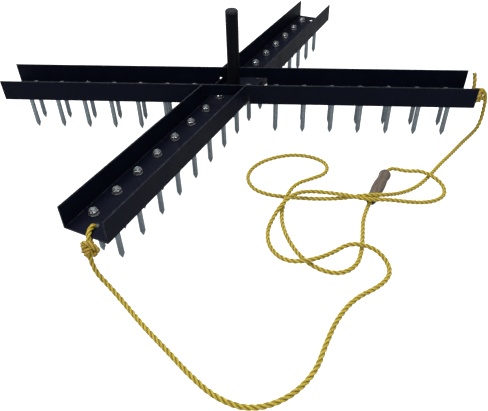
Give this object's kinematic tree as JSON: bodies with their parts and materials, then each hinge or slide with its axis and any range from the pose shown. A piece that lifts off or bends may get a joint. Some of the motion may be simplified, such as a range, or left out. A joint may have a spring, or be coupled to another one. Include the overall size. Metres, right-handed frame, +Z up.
{
  "type": "lawn dethatcher",
  "caption": "Crossed steel channels with rows of bolted pointed tines, a central weight post, and a twisted tow rope with a turned wooden handle.",
  "frame": {"origin": "on the ground under the middle of the crossing, which is the centre of the box of everything but the rope", "axes": "+X runs along the upper channel towards its roped end, +Z is up, and the lower channel runs 68 degrees from +X"},
  "size_m": [1.2725, 1.426, 0.3217],
  "materials": {
    "channel_coat": "satin blue-black powder coat",
    "post_coat": "satin black powder coat",
    "cap_plastic": "moulded black plastic with a soft sheen",
    "coated_weld": "powder-coated weld bead",
    "tine_steel": "zinc-plated round bar, ground points",
    "nut_zinc": "bright zinc plate",
    "washer_zinc": "bright zinc plate",
    "ring_nylon": "grey nylon",
    "handle_wood": "turned, waxed and weathered",
    "knot_rope": "twisted yellow rope drawn tight",
    "pull_rope": "twisted three-strand yellow rope"
  },
  "bodies": {
    "frame": {"center_post": "post_coat", "crossing_welds": "coated_weld", "left_knot": "knot_rope", "left_loop": "knot_rope", "lock_rings_far_left": "ring_nylon", "lock_rings_far_right": "ring_nylon", "lock_rings_left_front": "ring_nylon", "lock_rings_left_rear": "ring_nylon", "lock_rings_near_left": "ring_nylon", "lock_rings_near_right": "ring_nylon", "lock_rings_right_front": "ring_nylon", "lock_rings_right_rear": "ring_nylon", "lower_channel": "channel_coat", "nuts_far_left": "nut_zinc", "nuts_far_right": "nut_zinc", "nuts_left_front": "nut_zinc", "nuts_left_rear": "nut_zinc", "nuts_near_left": "nut_zinc", "nuts_near_right": "nut_zinc", "nuts_right_front": "nut_zinc", "nuts_right_rear": "nut_zinc", "post_cap": "cap_plastic", "post_weld": "coated_weld", "pull_rope": "pull_rope", "right_knot": "knot_rope", "right_loop": "knot_rope", "rope_tail": "knot_rope", "tines_far_left": "tine_steel", "tines_far_right": "tine_steel", "tines_left_front": "tine_steel", "tines_left_rear": "tine_steel", "tines_near_left": "tine_steel", "tines_near_right": "tine_steel", "tines_right_front": "tine_steel", "tines_right_rear": "tine_steel", "upper_channel": "channel_coat", "washers_far_left": "washer_zinc", "washers_far_right": "washer_zinc", "washers_left_front": "washer_zinc", "washers_left_rear": "washer_zinc", "washers_near_left": "washer_zinc", "washers_near_right": "washer_zinc", "washers_right_front": "washer_zinc", "washers_right_rear": "washer_zinc"},
    "handle": {"pull_handle": "handle_wood"}
  },
  "joints": [
    {"name": "handle_spin", "type": "hinge", "parent": "frame", "child": "handle", "pos_m": [0.35677, -0.28098, 0.014], "axis": [0.4052, 0.9142, 0], "continuous": true}
  ]
}
